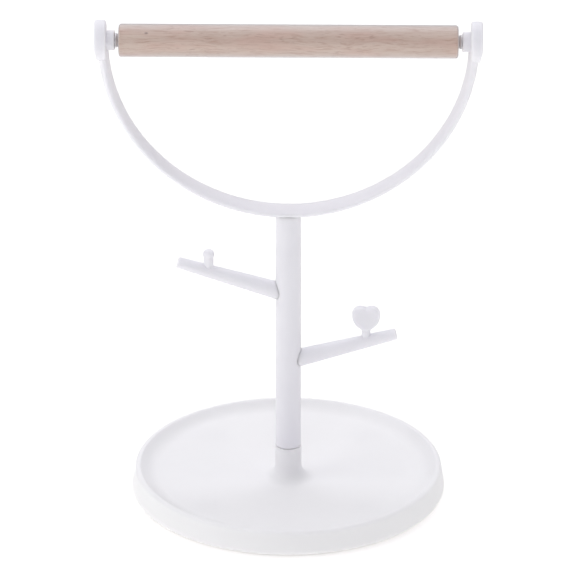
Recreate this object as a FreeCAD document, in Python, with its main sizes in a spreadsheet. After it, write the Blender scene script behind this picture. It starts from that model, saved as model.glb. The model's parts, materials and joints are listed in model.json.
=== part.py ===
# Table-top bird perch stand in millimetres: +Z up, origin on the table under the post's axis.
# A round tray carries a post with two twigs, and a wooden perch turns between a yoke's two ears.
import FreeCAD, Part
import math
import os
import Sketcher
from FreeCAD import Placement, Rotation, Vector

doc = FreeCAD.newDocument("perch_stand")

# Sizes that drive the stand, in millimetres except the counts and the shares of the post's length
SIZES = {
    # Tray, measured up from the lower edge of its skirt
    "foot_proud": 0.8,
    "tray_radius": 72.0,
    "rim_inset": 1.8,
    "rim_height": 11.2,
    "lip_width": 2.2,
    "floor_height": 4.65,
    "dish_rise": 3.3,
    "dish_run": 4.4,
    "dish_round": 10.0,
    "wall": 2.2,
    "edge_round": 0.7,
    "boss_radius": 6.0,
    "boss_flare": 5.9,
    "seam_height": 20.75,
    "seam_round": 0.2,
    # Underside of the tray
    "hub_wall": 2.2,
    "washer_clear": 0.5,
    "screw_recess_depth": 5.0,
    "socket_floor": 3.2,
    "rib_count": 4,
    "rib_thick": 1.6,
    "rib_lift": 1.2,
    # Rubber feet
    "foot_inset": 21.1,
    "foot_radius": 5.5,
    "foot_thick": 1.8,
    "foot_round": 0.5,
    "foot_recess": 0.7,
    "foot_boss_wall": 1.5,
    "foot_clear": 0.3,
    # Post, from the seam to the middle of the yoke's band, and the screw that holds it down
    "post_length": 117.8,
    "post_radius": 5.8,
    "seam_gap": 0.45,
    "seam_depth": 0.9,
    "tenon_side": 6.4,
    "tenon_end_gap": 0.4,
    "slide_gap": 0.06,
    "post_shank_radius": 1.9,
    "post_screw_bite": 16.0,
    "post_head_radius": 3.7,
    "post_head_height": 2.4,
    "washer_radius": 4.7,
    "washer_thick": 0.8,
    "hole_clear": 0.3,
    "drill_tail": 2.0,
    # Twigs
    "twig_root_radius": 4.25,
    "twig_tip_radius": 2.6,
    "twig_tip_round": 0.5,
    "spigot_radius": 2.5,
    "spigot_start": 1.4,
    "upper_share": 0.6498,
    "upper_reach": 50.3,
    "upper_rise": 15.3,
    "lower_share": 0.3646,
    "lower_reach": 49.2,
    "lower_rise": 13.6,
    # Bud and heart
    "bud_reach": 36.2,
    "bud_top": 10.7,
    "bud_head_radius": 2.65,
    "bud_head_height": 3.4,
    "bud_neck_radius": 2.25,
    "bud_flat": 0.35,
    "heart_reach": 35.4,
    "heart_lift": 13.4,
    "heart_width": 12.8,
    "heart_lobe": 3.9,
    "heart_side": 7.8,
    "heart_thick": 4.4,
    "heart_pillow": 0.9,
    "heart_stem_radius": 2.0,
    "heart_stem_bury": 2.6,
    # Yoke, with its ears set from the middle of its band
    "arc_radius": 83.05,
    "arc_thick": 4.9,
    "arc_depth": 12.2,
    "arc_nose": 1.2,
    "seat_gap": 0.06,
    "stem_radius": 3.5,
    "stem_length": 20.0,
    "stem_end_gap": 0.6,
    "ear_radius": 9.2,
    "ear_set": 1.55,
    "ear_thick": 5.35,
    "ear_round": 1.2,
    "ear_flat_below": 1.0,
    "ear_slope_in": 1.85,
    "pivot_boss_radius": 4.5,
    "pivot_boss_length": 3.8,
    "pivot_boss_round": 0.4,
    # Perch, pivot screws and spacers
    "dowel_radius": 7.5,
    "dowel_gap": 1.75,
    "dowel_round": 1.3,
    "pivot_radius": 2.0,
    "pivot_gap": 0.06,
    "pivot_head_radius": 3.6,
    "pivot_head_height": 2.2,
    "pivot_head_clear": 0.5,
    "pivot_recess_depth": 3.0,
    "pivot_play": 0.15,
    "bite_radius": 1.6,
    "bite_length": 14.0,
    "spacer_wall": 0.7,
    "spacer_flare": 0.75,
    "spacer_round": 0.3,
    # Cross slots in the screw heads
    "slot_length": 3.6,
    "slot_width": 0.9,
    "slot_depth": 1.1,
    "head_round": 1.0,
}

sheet = doc.addObject("Spreadsheet::Sheet", "Sizes")
for row, (alias, number) in enumerate(SIZES.items(), start=1):
    sheet.set(f"A{row}", alias)
    sheet.set(f"B{row}", str(number))
    sheet.setAlias(f"B{row}", alias)
doc.recompute()


class Size:
    """A size that keeps its number together with the sheet formula that gives it."""

    def __init__(self, number, formula):
        self.number = float(number)
        self.formula = formula

    def __add__(self, other):
        other = as_size(other)
        return Size(self.number + other.number, f"({self.formula} + {other.formula})")

    def __sub__(self, other):
        other = as_size(other)
        return Size(self.number - other.number, f"({self.formula} - {other.formula})")

    def __mul__(self, other):
        other = as_size(other)
        return Size(self.number * other.number, f"({self.formula} * {other.formula})")

    def __truediv__(self, other):
        other = as_size(other)
        return Size(self.number / other.number, f"({self.formula} / {other.formula})")

    def __neg__(self):
        return Size(-self.number, f"(0 - {self.formula})")


def as_size(value):
    """A plain number as a Size; a Size stays as it is."""
    return value if isinstance(value, Size) else Size(value, str(value))


def size(alias):
    """The named size from the sheet."""
    return Size(float(getattr(sheet, alias)), f"Sizes.{alias}")


ZERO = as_size(0)

# Left is towards -X and right towards +X
SIDES = {"left": -1, "right": 1}

# How far a cutting profile runs past the face that it cuts
CUT_PAST = 1


# Sketch helpers
def origin_plane(body, role):
    """One of the body's own origin planes."""
    return next(item for item in body.Origin.OriginFeatures if item.Role == role)


def new_body(label, x=ZERO, y=ZERO, z=ZERO):
    """An empty body whose place follows the sheet."""
    body = doc.addObject("PartDesign::Body", label)
    body.Label = label
    body.Placement = Placement(Vector(x.number, y.number, z.number), Rotation())
    for axis, place in zip("xyz", (x, y, z)):
        body.setExpression(f"Placement.Base.{axis}", place.formula)
    return body


def new_sketch(body, role, name, offset=ZERO):
    """An empty sketch on an origin plane, moved along that plane's normal."""
    sketch = body.newObject("Sketcher::SketchObject", f"{body.Name}_{name}")
    sketch.AttachmentSupport = [(origin_plane(body, role), "")]
    sketch.MapMode = "FlatFace"
    sketch.AttachmentOffset = Placement(Vector(0, 0, offset.number), Rotation())
    sketch.setExpression("AttachmentOffset.Base.z", offset.formula)
    return sketch


def hold(sketch, kind, *where, to):
    """One dimension tied to its formula."""
    number = sketch.addConstraint(Sketcher.Constraint(kind, *where, to.number))
    sketch.setExpression(f"Constraints[{number}]", to.formula)


def link(sketch, kind, *where):
    """One geometric constraint."""
    sketch.addConstraint(Sketcher.Constraint(kind, *where))


def pin(sketch, edge, end, x, y):
    """Hold one end of an edge at a point."""
    for kind, axis, place in (("DistanceX", -2, x), ("DistanceY", -1, y)):
        if place is ZERO:
            link(sketch, "PointOnObject", edge, end, axis)
        else:
            hold(sketch, kind, -1, 1, edge, end, to=place)


def add_circle(sketch, radius, x=ZERO, y=ZERO):
    """A full circle held by its centre and radius."""
    centre = Vector(x.number, y.number, 0)
    edge = sketch.addGeometry(Part.Circle(centre, Vector(0, 0, 1), radius.number), False)
    pin(sketch, edge, 3, x, y)
    hold(sketch, "Radius", edge, to=radius)


def add_axis(sketch, start, end):
    """A construction line to turn a profile about."""
    tail, tip = (Vector(point[0].number, point[1].number, 0) for point in (start, end))
    edge = sketch.addGeometry(Part.LineSegment(tail, tip), True)
    pin(sketch, edge, 1, *start)
    pin(sketch, edge, 2, *end)
    return edge


def add_arc(sketch, centre, radius, first, last):
    """An arc drawn counter-clockwise between two angles in radians."""
    if last < first:
        last += 2 * math.pi
    circle = Part.Circle(centre, Vector(0, 0, 1), radius)
    return sketch.addGeometry(Part.ArcOfCircle(circle, first, last), False)


def add_outline(sketch, corners):
    """A closed outline through corners (x, y) or, where the corner is rounded, (x, y, radius)."""
    points = [Vector(corner[0].number, corner[1].number, 0) for corner in corners]
    rounds = [corner[2] if len(corner) > 2 else None for corner in corners]
    count = len(points)
    arrive, leave, arcs = [], [], []
    for i, point in enumerate(points):
        back = (points[i - 1] - point).normalize()
        ahead = (points[(i + 1) % count] - point).normalize()
        if rounds[i] is None:
            arrive.append(point)
            leave.append(point)
            arcs.append(None)
            continue
        half = back.getAngle(ahead) / 2
        radius = rounds[i].number
        arrive.append(point + back * (radius / math.tan(half)))
        leave.append(point + ahead * (radius / math.tan(half)))
        centre = point + (back + ahead).normalize() * (radius / math.sin(half))
        first = arrive[i] - centre
        last = leave[i] - centre
        left_turn = back.cross(ahead).z < 0
        if not left_turn:
            first, last = last, first
        angles = [math.atan2(spoke.y, spoke.x) for spoke in (first, last)]
        arcs.append((add_arc(sketch, centre, radius, *angles), left_turn))
    lines = []
    for i in range(count):
        line = Part.LineSegment(leave[i], arrive[(i + 1) % count])
        lines.append(sketch.addGeometry(line, False))
    for i, corner in enumerate(corners):
        before, after = lines[i - 1], lines[i]
        if arcs[i] is None:
            link(sketch, "Coincident", before, 2, after, 1)
            pin(sketch, after, 1, corner[0], corner[1])
            continue
        arc, left_turn = arcs[i]
        link(sketch, "Tangent", before, 2, arc, 1 if left_turn else 2)
        link(sketch, "Tangent", arc, 2 if left_turn else 1, after, 1)
        hold(sketch, "Radius", arc, to=rounds[i])
        mark = sketch.addGeometry(Part.Point(points[i]), True)
        pin(sketch, mark, 1, corner[0], corner[1])
        link(sketch, "PointOnObject", mark, 1, before)
        link(sketch, "PointOnObject", mark, 1, after)


def add_sided_outline(sketch, side, corners):
    """An outline drawn for the right side, mirrored where the side is the left one."""
    placed = [(corner[0] * side, *corner[1:]) for corner in corners]
    add_outline(sketch, placed if side > 0 else placed[::-1])


def add_tilted_bar(sketch, foot, run, rise, start, end, start_radius, end_radius):
    """Half of a tapered bar along a sloping axis that leaves the foot point."""
    axis = add_axis(sketch, foot, (foot[0] + run if foot[0] is not ZERO else run, foot[1] + rise))
    origin = Vector(foot[0].number, foot[1].number, 0)
    along = Vector(run.number, rise.number, 0).normalize()
    across = Vector(-along.y, along.x, 0)
    near, far = origin + along * start.number, origin + along * end.number
    ring = [near, far, far + across * end_radius.number, near + across * start_radius.number]
    edges = [
        sketch.addGeometry(Part.LineSegment(ring[i], ring[(i + 1) % 4]), False) for i in range(4)
    ]
    for i in range(4):
        link(sketch, "Coincident", edges[i], 2, edges[(i + 1) % 4], 1)
    link(sketch, "PointOnObject", edges[0], 1, axis)
    link(sketch, "PointOnObject", edges[0], 2, axis)
    hold(sketch, "Distance", axis, 1, edges[0], 1, to=start)
    hold(sketch, "Distance", axis, 1, edges[0], 2, to=end)
    link(sketch, "Perpendicular", axis, edges[1])
    link(sketch, "Perpendicular", axis, edges[3])
    hold(sketch, "Distance", edges[1], to=end_radius)
    hold(sketch, "Distance", edges[3], to=start_radius)


def add_oval(sketch, x, grow=ZERO):
    """The yoke's four-arc oval, thin across its radius and deep along the axis, grown by a gap."""
    half = size("arc_thick") / 2
    nose = size("arc_nose")
    reach = size("arc_depth") / 2 - nose
    flank = (half * half + reach * reach - nose * nose) / ((half - nose) * 2)
    sweep = math.asin(reach.number / (flank.number - nose.number))
    outer = add_arc(
        sketch, Vector(x.number + half.number - flank.number, 0, 0),
        flank.number + grow.number, -sweep, sweep,
    )
    top = add_arc(
        sketch, Vector(x.number, reach.number, 0), nose.number + grow.number, sweep, math.pi - sweep,
    )
    inner = add_arc(
        sketch, Vector(x.number - half.number + flank.number, 0, 0),
        flank.number + grow.number, math.pi - sweep, math.pi + sweep,
    )
    low = add_arc(
        sketch, Vector(x.number, -reach.number, 0),
        nose.number + grow.number, math.pi + sweep, 2 * math.pi - sweep,
    )
    ring = (outer, top, inner, low)
    for i in range(4):
        link(sketch, "Tangent", ring[i], 2, ring[(i + 1) % 4], 1)
    hold(sketch, "Radius", outer, to=flank + grow)
    link(sketch, "Equal", outer, inner)
    hold(sketch, "Radius", top, to=nose + grow)
    link(sketch, "Equal", top, low)
    pin(sketch, top, 3, x, reach)
    pin(sketch, low, 3, x, -reach)


# Feature helpers
def add_feature(body, kind, sketch, name):
    """A sketch-based feature in its body."""
    feature = body.newObject(f"PartDesign::{kind}", f"{body.Name}_{name}")
    feature.Profile = sketch
    sketch.Visibility = False
    return feature


def extrude(body, kind, sketch, name, length, reverse=False, side="One side"):
    """A pad or pocket whose length follows the sheet."""
    feature = add_feature(body, kind, sketch, name)
    feature.SideType = side
    feature.Reversed = reverse
    feature.Length = length.number
    feature.setExpression("Length", length.formula)
    doc.recompute()
    return feature


def turn(body, kind, sketch, name, axis="V_Axis", angle=360, reverse=False):
    """A revolution or groove about one of the sketch's own axes."""
    feature = add_feature(body, kind, sketch, name)
    feature.ReferenceAxis = (sketch, [axis])
    feature.Angle = angle
    feature.Reversed = reverse
    doc.recompute()
    return feature


def repeat(body, features, sketch, name, count):
    """The features spread evenly about the sketch's normal."""
    pattern = body.newObject("PartDesign::PolarPattern", f"{body.Name}_{name}")
    pattern.Originals = features
    pattern.Axis = (sketch, ["N_Axis"])
    pattern.Angle = 360
    pattern.Occurrences = int(count.number)
    pattern.setExpression("Occurrences", count.formula)
    body.Tip = pattern
    doc.recompute()
    return pattern


def ease(body, feature, name, radius, wanted):
    """A fillet on the edges of the last feature that the test picks out."""
    edges = [f"Edge{i}" for i, edge in enumerate(feature.Shape.Edges, start=1) if wanted(edge)]
    fillet = body.newObject("PartDesign::Fillet", f"{body.Name}_{name}")
    fillet.Base = (feature, edges)
    fillet.Radius = radius.number
    fillet.setExpression("Radius", radius.formula)
    doc.recompute()
    return fillet


def is_ring(radius):
    """A test for round edges of one radius."""
    def wanted(edge):
        return isinstance(edge.Curve, Part.Circle) and abs(edge.Curve.Radius - radius.number) < 1e-4
    return wanted


def add_cross_slot(body, name, role, level, reverse):
    """A cross slot cut into a screw head from the plane at its top."""
    long, wide = size("slot_length") / 2, size("slot_width") / 2
    sketch = new_sketch(body, role, f"{name}_slot", level)
    add_outline(sketch, [
        (wide, -long), (wide, -wide), (long, -wide), (long, wide), (wide, wide), (wide, long),
        (-wide, long), (-wide, wide), (-long, wide), (-long, -wide), (-wide, -wide), (-wide, -long),
    ])
    return extrude(body, "Pocket", sketch, f"{name}_slot_cut", size("slot_depth"), reverse)


# Heights that several pieces share
skirt_z = size("foot_proud")
floor_z = skirt_z + size("floor_height")
floor_edge_z = floor_z + size("dish_rise")
under_z = floor_z - size("wall")
under_edge_z = under_z + size("dish_rise")
crest_z = skirt_z + size("rim_height")
under_crest_z = crest_z - size("wall") * 1.1
seam_z = skirt_z + size("seam_height")
recess_top_z = skirt_z + size("screw_recess_depth")
socket_z = recess_top_z + size("socket_floor")
arc_z = seam_z + size("post_length")
perch_z = arc_z + size("arc_radius")
foot_boss_z = size("foot_thick") - size("foot_recess")
twig_z = {name: seam_z + size("post_length") * size(f"{name}_share") for name in ("upper", "lower")}

# Places along the perch's axis that several pieces share
ear_inside = size("arc_radius") - size("ear_set")
ear_outside = ear_inside + size("ear_thick")
boss_end = ear_inside - size("pivot_boss_length")
dowel_end = boss_end - size("dowel_gap")

# Feet sit on the tray's diagonals
foot_reach = (size("tray_radius") - size("foot_inset")) * math.sqrt(0.5)


# Tray with its soft lip, gently rising floor, flared boss, hollow underside and square socket
def build_tray():
    """The round base in one moulding."""
    body = new_body("base_tray")
    tray, wall, lip = size("tray_radius"), size("wall"), size("lip_width")
    rim = tray - size("rim_inset")
    draft = size("rim_inset") / size("rim_height")
    recess = size("washer_radius") + size("washer_clear")
    hub = recess + size("hub_wall")
    inside = tray - wall - draft * (under_crest_z - skirt_z)
    dish_edge = rim - lip - size("dish_run")
    under_edge = dish_edge + wall / 3
    profile = new_sketch(body, "XZ_Plane", "profile")
    add_outline(profile, [
        (ZERO, recess_top_z),
        (recess, recess_top_z),
        (recess, skirt_z),
        (hub, skirt_z),
        (hub, under_z),
        (under_edge, under_edge_z),
        (inside, under_crest_z, size("edge_round")),
        (tray - wall, skirt_z),
        (tray, skirt_z, wall * 0.65),
        (rim, crest_z, lip * 0.68),
        (rim - lip, crest_z, lip * 0.45),
        (dish_edge, floor_edge_z, size("dish_round")),
        (size("boss_radius"), floor_z, size("boss_flare")),
        (size("boss_radius"), seam_z, size("seam_round")),
        (ZERO, seam_z),
    ])
    turn(body, "Revolution", profile, "shell")

    # Square socket for the post's tenon, with the screw's hole through its floor
    half = size("tenon_side") / 2 + size("slide_gap")
    socket = new_sketch(body, "XY_Plane", "socket", seam_z)
    add_outline(socket, [(half, -half), (half, half), (-half, half), (-half, -half)])
    extrude(body, "Pocket", socket, "socket_cut", seam_z - socket_z)
    hole = new_sketch(body, "XY_Plane", "hole", socket_z)
    add_circle(hole, size("post_shank_radius") + size("hole_clear"))
    extrude(body, "Pocket", hole, "hole_cut", size("socket_floor"))

    # Ribs from the hub out into the skirt, under the rising floor
    rib = new_sketch(body, "XZ_Plane", "rib")
    near, far = hub - wall / 4, tray - wall * 0.8
    rib_z = skirt_z + size("rib_lift")
    add_outline(rib, [
        (near, rib_z),
        (far, rib_z),
        (inside + wall / 4, under_crest_z + wall / 2),
        (under_edge, under_edge_z + wall / 4),
        (near, under_z + wall / 4),
    ])
    rib_pad = extrude(body, "Pad", rib, "rib_pad", size("rib_thick"), side="Symmetric")
    repeat(body, [rib_pad], socket, "ribs", size("rib_count"))

    # Bosses that hold the four feet in shallow recesses
    seat = size("foot_radius") + size("foot_clear")
    boss = new_sketch(body, "XY_Plane", "foot_boss", foot_boss_z)
    add_circle(boss, seat + size("foot_boss_wall"), foot_reach, foot_reach)
    boss_pad = extrude(body, "Pad", boss, "foot_boss_pad", under_edge_z - foot_boss_z + wall / 4)
    pocket = new_sketch(body, "XY_Plane", "foot_recess", foot_boss_z)
    add_circle(pocket, seat, foot_reach, foot_reach)
    pocket_cut = extrude(body, "Pocket", pocket, "foot_recess_cut", size("foot_recess"), reverse=True)
    repeat(body, [boss_pad, pocket_cut], boss, "foot_bosses", as_size(4))
    return body


# One soft foot, made four times
def build_foot(index):
    """A round pad with an eased lower edge."""
    across = -foot_reach if index in (2, 3) else foot_reach
    along = -foot_reach if index in (3, 4) else foot_reach
    body = new_body(f"rubber_foot_{index}", across, along)
    profile = new_sketch(body, "XZ_Plane", "profile")
    add_outline(profile, [
        (ZERO, ZERO),
        (size("foot_radius"), ZERO, size("foot_round")),
        (size("foot_radius"), size("foot_thick")),
        (ZERO, size("foot_thick")),
    ])
    turn(body, "Revolution", profile, "pad")
    return body


# Screw and washer that pull the post down into the tray
def build_washer():
    """A flat washer against the socket's floor."""
    body = new_body("post_washer", z=recess_top_z - size("washer_thick"))
    face = new_sketch(body, "XY_Plane", "face")
    add_circle(face, size("washer_radius"))
    add_circle(face, size("post_shank_radius") + size("hole_clear"))
    extrude(body, "Pad", face, "disc", size("washer_thick"))
    return body


def build_post_screw():
    """A pan-head screw that points up, with its head's seat at the body's origin."""
    body = new_body("post_screw", z=recess_top_z - size("washer_thick"))
    shank, head = size("post_shank_radius"), size("post_head_radius")
    tip = size("washer_thick") + size("socket_floor") + size("tenon_end_gap") + size("post_screw_bite")
    profile = new_sketch(body, "XZ_Plane", "profile")
    add_outline(profile, [
        (ZERO, -size("post_head_height")),
        (head, -size("post_head_height"), size("head_round")),
        (head, ZERO),
        (shank, ZERO),
        (shank, tip - shank),
        (ZERO, tip),
    ])
    turn(body, "Revolution", profile, "turned")
    add_cross_slot(body, "head", "XY_Plane", -size("post_head_height"), reverse=True)
    return body


# Upright post with a square tenon, a coped top and two sloping holes for the twigs
def build_post():
    """The upright, with its origin where it meets the tray."""
    body = new_body("post", z=seam_z)
    top = size("post_length")
    column = new_sketch(body, "XY_Plane", "column")
    add_circle(column, size("post_radius"))
    extrude(body, "Pad", column, "shaft", top)

    # Narrow rebate round the foot, which shows as a dark line above the tray's boss
    outer, inner = size("post_radius") + CUT_PAST, size("post_radius") - size("seam_depth")
    seam = new_sketch(body, "XZ_Plane", "seam")
    lift = size("seam_gap")
    add_outline(seam, [(inner, ZERO), (outer, ZERO), (outer, lift), (inner, lift)])
    rebate = turn(body, "Groove", seam, "seam_cut")
    low = top.number / 2
    ease(body, rebate, "foot_ease", size("seam_round"),
         lambda edge: is_ring(size("post_radius"))(edge) and edge.CenterOfMass.z < low)

    # Square tenon and the pilot hole up through it
    half = size("tenon_side") / 2
    tenon_length = seam_z - socket_z - size("tenon_end_gap")
    tenon = new_sketch(body, "XY_Plane", "tenon")
    add_outline(tenon, [(half, -half), (half, half), (-half, half), (-half, -half)])
    extrude(body, "Pad", tenon, "tenon_pad", tenon_length, reverse=True)
    pilot = new_sketch(body, "XY_Plane", "pilot", -tenon_length)
    add_circle(pilot, size("post_shank_radius") + size("slide_gap"))
    drilled = size("post_screw_bite") + size("drill_tail")
    extrude(body, "Pocket", pilot, "pilot_cut", drilled, reverse=True)

    # Socket for the yoke's stem and a cope that fits the yoke's oval section
    stem = new_sketch(body, "XY_Plane", "stem_socket", top)
    add_circle(stem, size("stem_radius") + size("slide_gap"))
    extrude(body, "Pocket", stem, "stem_socket_cut", size("stem_length") + size("stem_end_gap"))
    cope = new_sketch(body, "XY_Plane", "cope", perch_z - seam_z)
    add_oval(cope, size("arc_radius"), size("seat_gap"))
    turn(body, "Groove", cope, "cope_cut")

    # Sloping holes for the spigots of the twigs
    for name, side in (("upper", SIDES["left"]), ("lower", SIDES["right"])):
        hole = new_sketch(body, "XZ_Plane", f"{name}_hole")
        add_tilted_bar(
            hole, (ZERO, twig_z[name] - seam_z),
            size(f"{name}_reach") * side, size(f"{name}_rise"),
            size("spigot_start") - size("hole_clear"), size("post_radius") * 2,
            size("spigot_radius") + size("slide_gap"), size("spigot_radius") + size("slide_gap"),
        )
        turn(body, "Groove", hole, f"{name}_hole_cut", axis="Axis0")
    return body


# Tapered twigs with a saddle-cut root and a spigot
def build_twig(name, side):
    """One twig that leaves the post's axis to its side."""
    body = new_body(f"{name}_branch", z=twig_z[name])
    reach, rise = size(f"{name}_reach") * side, size(f"{name}_rise")
    span = math.hypot(reach.number, rise.number)
    length = Size(span, f"sqrt({reach.formula} ^ 2 + {rise.formula} ^ 2)")
    taper = new_sketch(body, "XZ_Plane", "taper")
    add_tilted_bar(
        taper, (ZERO, ZERO), reach, rise, size("spigot_start"), length,
        size("twig_root_radius"), size("twig_tip_radius"),
    )
    cone = turn(body, "Revolution", taper, "cone", axis="Axis0")
    ease(body, cone, "tip_ease", size("twig_tip_round"), is_ring(size("twig_tip_radius")))

    # Saddle that sits on the post's round face, then the spigot that enters the post
    saddle = new_sketch(body, "XY_Plane", "saddle")
    add_circle(saddle, size("post_radius") + size("seat_gap"))
    extrude(body, "Pocket", saddle, "saddle_cut", size("twig_root_radius") * 6, side="Symmetric")
    spigot = new_sketch(body, "XZ_Plane", "spigot")
    add_tilted_bar(
        spigot, (ZERO, ZERO), reach, rise, size("spigot_start"), size("post_radius") * 1.6,
        size("spigot_radius"), size("spigot_radius"),
    )
    turn(body, "Revolution", spigot, "spigot_pin", axis="Axis0")
    return body


def add_bud(body, side):
    """A small domed peg that stands on the upper twig."""
    x = size("bud_reach") * side
    foot = size("bud_reach") * size("upper_rise") / size("upper_reach")
    top = foot + size("bud_top")
    shoulder = top - size("bud_head_height")
    head, neck = size("bud_head_radius"), size("bud_neck_radius")
    bud = new_sketch(body, "XZ_Plane", "bud")
    add_axis(bud, (x, foot), (x, top))
    add_outline(bud, [
        (x, foot),
        (x + neck, foot),
        (x + neck, shoulder),
        (x + head, shoulder + (head - neck)),
        (x + head, top, head - size("bud_flat")),
        (x, top),
    ])
    turn(body, "Revolution", bud, "bud_peg", axis="Axis0")


def add_heart(body, side):
    """A flat plump heart on a short round stem that stands on the lower twig."""
    x = size("heart_reach") * side
    foot = size("heart_reach") * size("lower_rise") / size("lower_reach")
    level = foot + size("heart_lift")
    lobe, flank = size("heart_lobe"), size("heart_side")
    apart = size("heart_width") / 2 - lobe
    inset = flank - size("heart_width") / 2
    notch = math.acos(apart.number / lobe.number)
    meet = math.acos(inset.number / flank.number)
    tip = level.number - flank.number * math.sin(meet)
    outline = new_sketch(body, "XZ_Plane", "heart")

    def centre(along):
        return Vector(x.number + along.number, level.number, 0)

    right = add_arc(outline, centre(apart), lobe.number, 0, math.pi - notch)
    left = add_arc(outline, centre(-apart), lobe.number, notch, math.pi)
    down = add_arc(outline, centre(inset), flank.number, math.pi, math.pi + meet)
    up = add_arc(outline, centre(-inset), flank.number, -meet, 0)
    link(outline, "Coincident", right, 2, left, 1)
    link(outline, "Tangent", left, 2, down, 1)
    link(outline, "Coincident", down, 2, up, 1)
    link(outline, "Tangent", up, 2, right, 1)
    hold(outline, "Radius", right, to=lobe)
    link(outline, "Equal", right, left)
    hold(outline, "Radius", up, to=flank)
    link(outline, "Equal", up, down)
    pin(outline, right, 3, x + apart, level)
    pin(outline, left, 3, x - apart, level)
    hold(outline, "DistanceY", -1, 1, up, 3, to=level)
    hold(outline, "DistanceY", -1, 1, down, 3, to=level)
    slab = extrude(body, "Pad", outline, "heart_slab", size("heart_thick"), side="Symmetric")
    half = size("heart_thick").number / 2

    def is_face_edge(edge):
        flat = all(abs(abs(corner.Y) - half) < 1e-4 for corner in edge.Vertexes)
        return flat and edge.CenterOfMass.z > tip

    ease(body, slab, "heart_pillow", size("heart_pillow"), is_face_edge)
    stem = new_sketch(body, "XY_Plane", "heart_stem", foot)
    add_circle(stem, size("heart_stem_radius"), x)
    stem_length = size("heart_lift") - size("heart_side") + size("heart_stem_bury")
    extrude(body, "Pad", stem, "heart_stem_pad", stem_length)


# Half-round yoke of oval section with an ear and a boss at each end and a stem below
def build_yoke():
    """The yoke, with its origin on the perch's axis."""
    body = new_body("yoke", z=perch_z)
    section = new_sketch(body, "XY_Plane", "section")
    add_oval(section, size("arc_radius"))
    turn(body, "Revolution", section, "arc", angle=180)

    # Ears and their bosses, turned about the perch's axis
    radius = size("ear_radius")
    for name, side in SIDES.items():
        ear = new_sketch(body, "XZ_Plane", f"{name}_ear")
        add_sided_outline(ear, side, [
            (ear_outside, ZERO),
            (ear_outside, radius, size("ear_round")),
            (ear_inside, radius, size("ear_round")),
            (ear_inside, size("pivot_boss_radius")),
            (boss_end, size("pivot_boss_radius"), size("pivot_boss_round")),
            (boss_end, ZERO),
        ])
        turn(body, "Revolution", ear, f"{name}_ear_disc", axis="H_Axis")

    # Lower outer side of each ear, sloped in towards the arc
    low = -(radius + CUT_PAST)
    for name, side in SIDES.items():
        wedge = new_sketch(body, "XZ_Plane", f"{name}_wedge")
        add_sided_outline(wedge, side, [
            (ear_outside, -size("ear_flat_below")),
            (ear_outside - size("ear_slope_in"), low),
            (ear_outside + CUT_PAST, low),
            (ear_outside + CUT_PAST, -size("ear_flat_below")),
        ])
        extrude(body, "Pocket", wedge, f"{name}_wedge_cut", radius * 3, side="Symmetric")

    # Stem that enters the post
    stem = new_sketch(body, "XY_Plane", "stem", -size("arc_radius"))
    add_circle(stem, size("stem_radius"))
    extrude(body, "Pad", stem, "stem_pad", size("stem_length"), reverse=True)

    # Bore and head recess for each pivot screw
    bore = size("pivot_radius") + size("pivot_gap")
    recess = size("pivot_head_radius") + size("pivot_head_clear")
    floor = ear_outside - size("pivot_recess_depth")
    for name, side in SIDES.items():
        hole = new_sketch(body, "XZ_Plane", f"{name}_bore")
        add_sided_outline(hole, side, [
            (ear_outside + CUT_PAST, ZERO),
            (ear_outside + CUT_PAST, recess),
            (floor, recess),
            (floor, bore),
            (boss_end - CUT_PAST, bore),
            (boss_end - CUT_PAST, ZERO),
        ])
        turn(body, "Groove", hole, f"{name}_bore_cut", axis="H_Axis")
    return body


# Wooden perch with a pilot hole in each end
def build_perch():
    """The round rod along X, with its origin at its middle."""
    body = new_body("perch_dowel", z=perch_z)
    half, radius = dowel_end, size("dowel_radius")
    profile = new_sketch(body, "XZ_Plane", "profile")
    add_outline(profile, [
        (-half, ZERO),
        (half, ZERO),
        (half, radius, size("dowel_round")),
        (-half, radius, size("dowel_round")),
    ])
    turn(body, "Revolution", profile, "rod", axis="H_Axis")
    for name, side in SIDES.items():
        pilot = new_sketch(body, "YZ_Plane", f"{name}_pilot", half * side)
        add_circle(pilot, size("bite_radius") + size("slide_gap"))
        extrude(body, "Pocket", pilot, f"{name}_pilot_cut",
                size("bite_length") + size("drill_tail"), reverse=side < 0)
    return body


# Pivot screws and spacers, one pair at each end
def build_pivot_screw(name, side):
    """A shouldered screw along X with its head outwards."""
    body = new_body(f"{name}_pivot_screw", z=perch_z)
    seat = ear_outside - size("pivot_recess_depth") + size("pivot_play")
    tip = dowel_end - size("bite_length")
    bite = size("bite_radius")
    top = seat + size("pivot_head_height")
    profile = new_sketch(body, "XZ_Plane", "profile")
    add_sided_outline(profile, side, [
        (tip, ZERO),
        (top, ZERO),
        (top, size("pivot_head_radius"), size("head_round")),
        (seat, size("pivot_head_radius")),
        (seat, size("pivot_radius")),
        (dowel_end, size("pivot_radius")),
        (dowel_end, bite),
        (tip + bite, bite),
    ])
    turn(body, "Revolution", profile, "turned", axis="H_Axis")
    add_cross_slot(body, "head", "YZ_Plane", top * side, reverse=side < 0)
    return body


def build_spacer(name, side):
    """A short collar between the rod's end and the ear's boss, wider at the boss."""
    body = new_body(f"{name}_spacer", z=perch_z)
    end = boss_end - size("pivot_play")
    bore = size("pivot_radius") + size("slide_gap")
    nose = bore + size("spacer_wall")
    profile = new_sketch(body, "XZ_Plane", "profile")
    add_sided_outline(profile, side, [
        (dowel_end, bore),
        (end, bore),
        (end, nose + size("spacer_flare"), size("spacer_round")),
        (dowel_end, nose),
    ])
    turn(body, "Revolution", profile, "collar", axis="H_Axis")
    return body


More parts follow.
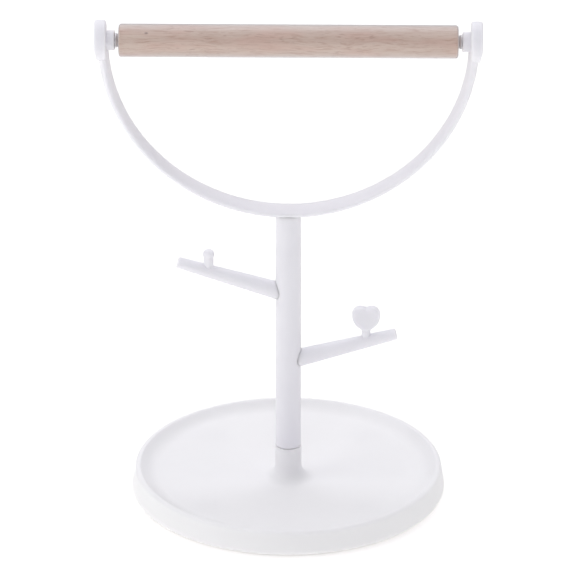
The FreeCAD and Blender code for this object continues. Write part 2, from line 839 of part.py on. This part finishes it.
bodies = [build_tray()]
bodies += [build_foot(index) for index in range(1, 5)]
bodies += [build_post_screw(), build_washer(), build_post()]
upper = build_twig("upper", SIDES["left"])
add_bud(upper, SIDES["left"])
lower = build_twig("lower", SIDES["right"])
add_heart(lower, SIDES["right"])
bodies += [upper, lower, build_yoke(), build_perch()]
for name, side in SIDES.items():
    bodies += [build_pivot_screw(name, side), build_spacer(name, side)]
doc.recompute()

# Every object has to be in order before anything is written
for item in doc.Objects:
    if "Invalid" in item.State or "Error" in item.State:
        raise RuntimeError(f"{item.Name} did not recompute: {item.State}")
os.makedirs("parts", exist_ok=True)
for body in bodies:
    shape = body.Shape
    if shape.isNull() or not shape.isValid() or len(shape.Solids) != 1:
        raise RuntimeError(f"{body.Label} is not one valid solid")
    shape.exportStep(f"parts/{body.Label}.step")
    print(f"{body.Label}: {shape.Volume:.1f} mm3")
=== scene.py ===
import json
import math

import bpy
from mathutils import Matrix, Vector

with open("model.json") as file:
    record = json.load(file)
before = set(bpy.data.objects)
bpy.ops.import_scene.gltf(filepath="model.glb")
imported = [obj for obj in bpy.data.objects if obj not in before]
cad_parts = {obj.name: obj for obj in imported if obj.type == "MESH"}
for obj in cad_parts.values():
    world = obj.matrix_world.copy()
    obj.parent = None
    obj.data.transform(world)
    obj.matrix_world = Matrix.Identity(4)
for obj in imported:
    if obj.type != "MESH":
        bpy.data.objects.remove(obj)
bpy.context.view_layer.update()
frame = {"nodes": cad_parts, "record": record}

nodes = frame["nodes"]

# Photograph's viewpoint: place in metres, focal length in the photograph's pixels
PHOTO_PIXELS = 576
FOCAL_PIXELS = 6576.5
SENSOR_MM = 36.0
CAMERA_PLACE = Vector((0.03199, -2.71019, 1.3608))
CAMERA_TILT_DOWN = math.radians(24.933)
CAMERA_TURN = math.radians(-0.68)
CAMERA_ROLL = math.radians(0.03)
CAMERA_REACH = 50.0

# Floor, in metres, whose glow grows over the far span and stays as strong beyond it
FLOOR_SIZE = 12.0
FLOOR_COLOUR = (0.95, 0.945, 0.920, 1.0)
FLOOR_SPECKLE_SHADE = 0.985
FLOOR_GLOW = 0.29
FAR_FLOOR_GLOW = 0.72
FAR_FLOOR_SPAN = (1.0, 1.6)

# Room and soft square lamps: each lamp's place, width in metres, power in watts and colour
ROOM_COLOUR = (0.935, 0.935, 1.0, 1.0)
ROOM_STRENGTH = 0.2
WHITE_LIGHT = (1.0, 1.0, 1.0)
COOL_LIGHT = (0.973, 0.963, 1.0)
SKY_LIGHT = (0.935, 0.935, 1.0)
LAMP_AIM = (0.0, 0.0, 0.1)
LAMPS = {
    "left_softbox": ((-1.5, -0.35, 0.75), 1.2, 7.6, WHITE_LIGHT),
    "right_softbox": ((1.5, -0.35, 0.75), 1.2, 3.2, WHITE_LIGHT),
    "top_softbox": ((0.0, -0.1, 1.9), 2.8, 17.8, COOL_LIGHT),
    "front_softbox": ((0.0, -1.9, 0.6), 1.6, 5.9, SKY_LIGHT),
    "back_softbox": ((0.0, 1.4, 1.7), 2.8, 25.6, COOL_LIGHT),
}

# Colours of the finishes, with a light and a dark tone for each white
TRAY_WHITE = ((0.976, 0.954, 0.988, 1.0), (0.956, 0.934, 0.969, 1.0))
# Painted shade: a darker, bluer copy of the tray's white for the post, its twigs and the yoke, standing
# in for the lesser light on the higher pieces
PAINTED_SHADE_WHITE = ((0.884, 0.879, 0.910, 1.0), (0.860, 0.855, 0.888, 1.0))
PAINTED_SHADE_NODES = ("post", "upper_branch", "lower_branch", "yoke")
WOOD_PALE = (0.626, 0.481, 0.390, 1.0)
WOOD_MID = (0.530, 0.377, 0.297, 1.0)
WOOD_BLUSH = (0.570, 0.361, 0.281, 1.0)
WOOD_STREAK = (0.425, 0.236, 0.159, 1.0)
WOOD_FLECK = (0.338, 0.165, 0.104, 1.0)
WOOD_KNOT = (0.260, 0.150, 0.110, 1.0)
WOOD_SHEEN = (0.80, 0.93, 1.0, 1.0)
WOOD_END = (0.420, 0.285, 0.220, 1.0)
STEEL_LIGHT = (0.94, 0.945, 0.965, 1.0)
STEEL_DARK = (0.80, 0.81, 0.84, 1.0)
RUBBER_LIGHT = (0.17, 0.17, 0.175, 1.0)
RUBBER_DARK = (0.11, 0.11, 0.115, 1.0)

# Texture cells per metre along X, Y and Z, with the wood's grain along X
CELLS = {
    "plastic_cloud": (55.0, 55.0, 55.0),
    "plastic_grain": (2600.0, 2600.0, 2600.0),
    "plastic_flow": (14.0, 14.0, 30.0),
    "wood_sway": (60.0, 90.0, 90.0),
    "wood_band": (9.0, 150.0, 150.0),
    "wood_blush": (38.0, 190.0, 190.0),
    "wood_fibre": (75.0, 1700.0, 1700.0),
    "wood_streak": (130.0, 1350.0, 1350.0),
    "wood_fleck": (280.0, 1500.0, 1500.0),
    "wood_patch": (30.0, 90.0, 90.0),
    "wood_pores": (900.0, 1700.0, 1700.0),
    "steel_rings": (5200.0, 260.0, 260.0),
    "steel_tarnish": (420.0, 420.0, 420.0),
    "rubber_pebble": (1500.0, 1500.0, 1500.0),
    "rubber_cloud": (180.0, 180.0, 180.0),
    "floor_speckle": (400.0, 400.0, 400.0),
}

# A noise's middle, and the spans of it over which a colour or a roughness changes
NOISE_MIDDLE = (0.5, 0.5, 0.5)
NOISE_SPAN = (0.3, 0.7)
PLASTIC_CLOUD_SPAN = (0.3, 0.72)
WOOD_BAND_SPAN = (0.34, 0.64)
WOOD_PORE_SPAN = (0.35, 0.65)

# Roughness at the two ends of a noise's span
PLASTIC_ROUGHNESS = (0.46, 0.58)
WOOD_ROUGHNESS = (0.46, 0.36)
STEEL_ROUGHNESS = (0.34, 0.50)
RUBBER_ROUGHNESS = (0.75, 0.9)

# Relief by its height in metres and its strength
PLASTIC_RELIEF = (0.00003, 0.35)
WOOD_FIBRE_RELIEF = (0.00010, 0.4)
WOOD_FLECK_RELIEF = (0.00006, 0.3)
STEEL_RELIEF = (0.00002, 0.3)
RUBBER_RELIEF = (0.00006, 0.4)

# How far light goes into the plastic and how far the wood's grain sways, in metres
PLASTIC_DEPTH = (0.0016, 0.0016, 0.0016)
WOOD_SWAY_REACH = (0.0, 0.0030, 0.0030)

# Marks in the wood: the noise where they begin, where they are full, and how much they then cover
WOOD_BLUSH_MARKS = (0.46, 0.66, 0.75)
WOOD_FIBRE_MARKS = (0.48, 0.75, 0.50)
WOOD_STREAK_MARKS = (0.53, 0.72, 0.80)
WOOD_FLECK_MARKS = (0.58, 0.72, 0.65)
WOOD_PATCH_MARKS = (0.42, 0.60, 1.0)

# How squarely a face looks along the grain where end grain begins and where it is full
WOOD_END_FACING = (0.6, 0.95)

# Small knot on the front of the rod: its middle and half sizes in metres, and its core's share of them
KNOT_PLACE = (-0.06341, -0.00501, 0.22798)
KNOT_HALF = (0.0011, 0.0007, 0.0007)
KNOT_CORE = 0.35

# Places of the colours among a Mix node's sockets
MIX_FIRST = 6
MIX_SECOND = 7
MIX_RESULT = 2


# Node helpers
class Shader:
    """A material's node tree with short calls for the nodes used here."""

    def __init__(self, name):
        self.material = bpy.data.materials.new(name)
        self.material.use_nodes = True
        self.tree = self.material.node_tree
        self.surface = self.tree.nodes["Principled BSDF"]
        self.place = self.add("ShaderNodeTexCoord").outputs["Object"]

    def add(self, kind, **settings):
        """A node with its settings and the constants of its sockets."""
        node = self.tree.nodes.new(kind)
        for key, value in settings.items():
            if key in node.inputs:
                node.inputs[key].default_value = value
            else:
                setattr(node, key, value)
        return node

    def link(self, source, target):
        """A link between two sockets."""
        self.tree.links.new(source, target)

    def set(self, **values):
        """Constants on the surface's own sockets."""
        for key, value in values.items():
            self.surface.inputs[key.replace("_", " ")].default_value = value

    def paint(self, colour):
        """A colour that varies over the surface."""
        self.link(colour, self.surface.inputs["Base Color"])

    def rough(self, source, span):
        """A roughness that follows a noise from one value to another."""
        self.link(self.levels(source, *NOISE_SPAN, *span), self.surface.inputs["Roughness"])

    def bump(self, height, relief):
        """Relief under the surface's normal, over any that is there already."""
        distance, strength = relief
        node = self.add("ShaderNodeBump", Distance=distance, Strength=strength)
        self.link(height, node.inputs["Height"])
        before = self.surface.inputs["Normal"]
        if before.is_linked:
            self.link(before.links[0].from_socket, node.inputs["Normal"])
        self.link(node.outputs["Normal"], before)

    def stretch(self, cells):
        """Object coordinates scaled to a texture's cells along each axis."""
        node = self.add("ShaderNodeMapping", Scale=CELLS[cells])
        self.link(self.place, node.inputs["Vector"])
        return node.outputs["Vector"]

    def sway(self, cells, reach):
        """Push the coordinates that later calls use about by a slow noise."""
        slow = self.add("ShaderNodeTexNoise", Scale=1.0, Detail=1.0)
        self.link(self.stretch(cells), slow.inputs["Vector"])
        centred = self.add("ShaderNodeVectorMath", operation="SUBTRACT")
        centred.inputs[1].default_value = NOISE_MIDDLE
        self.link(slow.outputs["Color"], centred.inputs[0])
        pushed = self.add("ShaderNodeVectorMath", operation="MULTIPLY_ADD")
        pushed.inputs[1].default_value = reach
        self.link(centred.outputs["Vector"], pushed.inputs[0])
        self.link(self.place, pushed.inputs[2])
        self.place = pushed.outputs["Vector"]

    def length(self, vector):
        """The length of a vector."""
        node = self.add("ShaderNodeVectorMath", operation="LENGTH")
        self.link(vector, node.inputs[0])
        return node.outputs["Value"]

    def spot(self, centre, half, core):
        """One in the core of an ellipsoid, falling to nothing at its skin."""
        node = self.add("ShaderNodeMapping", Scale=tuple(1.0 / reach for reach in half))
        node.inputs["Location"].default_value = [-middle / reach for middle, reach in zip(centre, half)]
        self.link(self.place, node.inputs["Vector"])
        return self.levels(self.length(node.outputs["Vector"]), core, 1.0, 1.0, 0.0)

    def noise(self, cells, detail=3.0, roughness=0.5):
        """Noise in object coordinates with the cells that are named."""
        node = self.add("ShaderNodeTexNoise", Scale=1.0, Detail=detail, Roughness=roughness)
        self.link(self.stretch(cells), node.inputs["Vector"])
        return node.outputs["Fac"]

    def ramp(self, source, span, first, last):
        """A change from one colour to another over a span of a value."""
        node = self.add("ShaderNodeValToRGB")
        for element, position, colour in zip(node.color_ramp.elements, span, (first, last)):
            element.position = position
            element.color = colour
        self.link(source, node.inputs["Fac"])
        return node.outputs["Color"]

    def levels(self, source, low, high, start=0.0, end=1.0):
        """A value spread from one span to another."""
        node = self.add("ShaderNodeMapRange")
        for key, value in (("From Min", low), ("From Max", high), ("To Min", start), ("To Max", end)):
            node.inputs[key].default_value = value
        self.link(source, node.inputs["Value"])
        return node.outputs["Result"]

    def marks(self, source, extent):
        """How much marks in the wood cover what is under them."""
        begin, full, cover = extent
        return self.levels(source, begin, full, 0.0, cover)

    def times(self, first, second):
        """The product of two values."""
        node = self.add("ShaderNodeMath", operation="MULTIPLY")
        self.link(first, node.inputs[0])
        self.link(second, node.inputs[1])
        return node.outputs["Value"]

    def mix(self, amount, first, second):
        """A blend of a linked colour with a linked or a fixed one, by a value."""
        node = self.add("ShaderNodeMix", data_type="RGBA")
        self.link(amount, node.inputs["Factor"])
        self.link(first, node.inputs[MIX_FIRST])
        if isinstance(second, tuple):
            node.inputs[MIX_SECOND].default_value = second
        else:
            self.link(second, node.inputs[MIX_SECOND])
        return node.outputs[MIX_RESULT]

    def facing_x(self, low, high):
        """Nothing on faces along X, rising to one on faces square to it."""
        normal = self.add("ShaderNodeTexCoord").outputs["Normal"]
        split = self.add("ShaderNodeSeparateXYZ")
        self.link(normal, split.inputs["Vector"])
        size = self.add("ShaderNodeMath", operation="ABSOLUTE")
        self.link(split.outputs["X"], size.inputs[0])
        return self.levels(size.outputs["Value"], low, high)


# Finishes
def white_plastic(name, light, dark):
    """Matte white moulding with a fine spark texture and faint cloudiness."""
    shader = Shader(name)
    cloud = shader.noise("plastic_cloud", detail=4.0, roughness=0.6)
    shader.paint(shader.ramp(cloud, PLASTIC_CLOUD_SPAN, dark, light))
    shader.rough(shader.noise("plastic_flow", detail=2.0), PLASTIC_ROUGHNESS)
    shader.bump(shader.noise("plastic_grain", detail=2.0), PLASTIC_RELIEF)
    shader.set(Specular_IOR_Level=0.4)
    shader.set(Subsurface_Weight=1.0, Subsurface_Radius=PLASTIC_DEPTH, Subsurface_Scale=1.0)
    return shader.material


def beech_wood():
    """Pale beech under thin wax, with lengthwise grain, short flecks, a knot and darker end grain."""
    shader = Shader("beech")
    knot = shader.spot(KNOT_PLACE, KNOT_HALF, KNOT_CORE)
    shader.sway("wood_sway", WOOD_SWAY_REACH)
    band = shader.noise("wood_band", roughness=0.55)
    blush = shader.noise("wood_blush", detail=2.0)
    fibre = shader.noise("wood_fibre", roughness=0.6)
    streak = shader.noise("wood_streak", detail=2.0)
    fleck = shader.noise("wood_fleck", detail=1.0, roughness=0.4)
    patch = shader.noise("wood_patch", detail=2.0)

    # Bands, then blushes, fibres and streaks over them, flecks in patches, and the knot
    body = shader.ramp(band, WOOD_BAND_SPAN, WOOD_MID, WOOD_PALE)
    body = shader.mix(shader.marks(blush, WOOD_BLUSH_MARKS), body, WOOD_BLUSH)
    body = shader.mix(shader.marks(fibre, WOOD_FIBRE_MARKS), body, WOOD_STREAK)
    body = shader.mix(shader.marks(streak, WOOD_STREAK_MARKS), body, WOOD_STREAK)
    flecks = shader.marks(fleck, WOOD_FLECK_MARKS)
    patches = shader.marks(patch, WOOD_PATCH_MARKS)
    body = shader.mix(shader.times(flecks, patches), body, WOOD_FLECK)
    body = shader.mix(knot, body, WOOD_KNOT)

    # End faces look along the grain, so they show darker pores in place of streaks
    pores = shader.noise("wood_pores", detail=2.0)
    end_tone = shader.ramp(pores, WOOD_PORE_SPAN, WOOD_END, WOOD_MID)
    shader.paint(shader.mix(shader.facing_x(*WOOD_END_FACING), body, end_tone))
    shader.rough(fibre, WOOD_ROUGHNESS)
    shader.bump(fibre, WOOD_FIBRE_RELIEF)
    shader.bump(flecks, WOOD_FLECK_RELIEF)
    shader.set(Specular_IOR_Level=1.0, Coat_Weight=0.8, Coat_Roughness=0.3)
    shader.set(Sheen_Weight=0.8, Sheen_Roughness=0.6, Sheen_Tint=WOOD_SHEEN)
    return shader.material


def satin_steel():
    """Turned steel with fine rings about the pivots' axis."""
    shader = Shader("steel")
    rings = shader.noise("steel_rings")
    shader.paint(shader.ramp(shader.noise("steel_tarnish"), NOISE_SPAN, STEEL_DARK, STEEL_LIGHT))
    shader.rough(rings, STEEL_ROUGHNESS)
    shader.bump(rings, STEEL_RELIEF)
    shader.set(Metallic=1.0)
    return shader.material


def foot_rubber():
    """Dull rubber with a pebbled skin."""
    shader = Shader("foot_rubber")
    pebble = shader.noise("rubber_pebble", detail=2.0)
    shader.paint(shader.ramp(shader.noise("rubber_cloud"), NOISE_SPAN, RUBBER_DARK, RUBBER_LIGHT))
    shader.rough(pebble, RUBBER_ROUGHNESS)
    shader.bump(pebble, RUBBER_RELIEF)
    return shader.material


def floor_paper():
    """Pale paper with a faint speckle, which glows more where the lamps don't reach."""
    shader = Shader("floor_paper")
    shade = tuple(FLOOR_SPECKLE_SHADE * value for value in FLOOR_COLOUR[:3]) + (1.0,)
    speckle = shader.noise("floor_speckle", detail=2.0)
    shader.paint(shader.ramp(speckle, NOISE_SPAN, shade, FLOOR_COLOUR))
    away = shader.length(shader.place)
    glow = shader.levels(away, *FAR_FLOOR_SPAN, FLOOR_GLOW, FAR_FLOOR_GLOW)
    shader.link(glow, shader.surface.inputs["Emission Strength"])
    shader.set(Emission_Color=FLOOR_COLOUR, Roughness=0.9, Specular_IOR_Level=0.1)
    return shader.material


def dress_nodes():
    """Each CAD node in its slot's finish, with a darker, bluer copy of the white on the post, its twigs
    and the yoke as painted shade.
    """
    finishes = {
        "white_plastic": white_plastic("tray_white", *TRAY_WHITE),
        "beech": beech_wood(),
        "steel": satin_steel(),
        "foot_rubber": foot_rubber(),
    }
    # Painted shade: the darker, bluer copy of the white, put on the higher mouldings
    shaded_copy_white = white_plastic("shaded_copy_white", *PAINTED_SHADE_WHITE)
    for entry in frame["record"]["subparts"]:
        mesh = nodes[entry["node"]].data
        mesh.materials.clear()
        in_painted_shade = entry["node"] in PAINTED_SHADE_NODES
        mesh.materials.append(shaded_copy_white if in_painted_shade else finishes[entry["material_slot"]])


# Floor, light and camera
def build_floor():
    """A wide pale floor under the feet."""
    half = FLOOR_SIZE / 2
    mesh = bpy.data.meshes.new("floor")
    corners = [(-half, -half, 0.0), (half, -half, 0.0), (half, half, 0.0), (-half, half, 0.0)]
    mesh.from_pydata(corners, [], [(0, 1, 2, 3)])
    mesh.materials.append(floor_paper())
    floor = bpy.data.objects.new("floor", mesh)
    bpy.context.scene.collection.objects.link(floor)


def build_lamp(name, place, size, power, colour):
    """A soft square lamp that points at the stand."""
    lamp = bpy.data.lights.new(name, "AREA")
    lamp.shape = "SQUARE"
    lamp.size = size
    lamp.energy = power
    lamp.color = colour
    item = bpy.data.objects.new(name, lamp)
    item.location = place
    item.rotation_euler = (Vector(LAMP_AIM) - Vector(place)).to_track_quat("-Z", "Y").to_euler()
    bpy.context.scene.collection.objects.link(item)


def build_room():
    """An even, faintly blue room around the stand, and plain colours in the picture."""
    world = bpy.data.worlds.new("room")
    world.use_nodes = True
    background = world.node_tree.nodes["Background"]
    background.inputs["Color"].default_value = ROOM_COLOUR
    background.inputs["Strength"].default_value = ROOM_STRENGTH
    bpy.context.scene.world = world
    bpy.context.scene.view_settings.view_transform = "Standard"


def build_camera():
    """A camera at the photograph's place, tilt and framing."""
    camera = bpy.data.cameras.new("camera")
    camera.sensor_fit = "HORIZONTAL"
    camera.sensor_width = SENSOR_MM
    camera.lens = FOCAL_PIXELS / PHOTO_PIXELS * SENSOR_MM
    camera.clip_end = CAMERA_REACH
    ahead = Vector((
        math.sin(CAMERA_TURN) * math.cos(CAMERA_TILT_DOWN),
        math.cos(CAMERA_TURN) * math.cos(CAMERA_TILT_DOWN),
        -math.sin(CAMERA_TILT_DOWN),
    ))
    right = Vector((math.cos(CAMERA_TURN), -math.sin(CAMERA_TURN), 0.0))
    up = right.cross(ahead)
    level = Matrix((right, up, -ahead)).transposed().to_4x4()
    item = bpy.data.objects.new("camera", camera)
    item.matrix_world = Matrix.Translation(CAMERA_PLACE) @ level @ Matrix.Rotation(CAMERA_ROLL, 4, "Z")
    bpy.context.scene.collection.objects.link(item)
    bpy.context.scene.camera = item


dress_nodes()
build_floor()
build_room()
for lamp_name, settings in LAMPS.items():
    build_lamp(lamp_name, *settings)
build_camera()
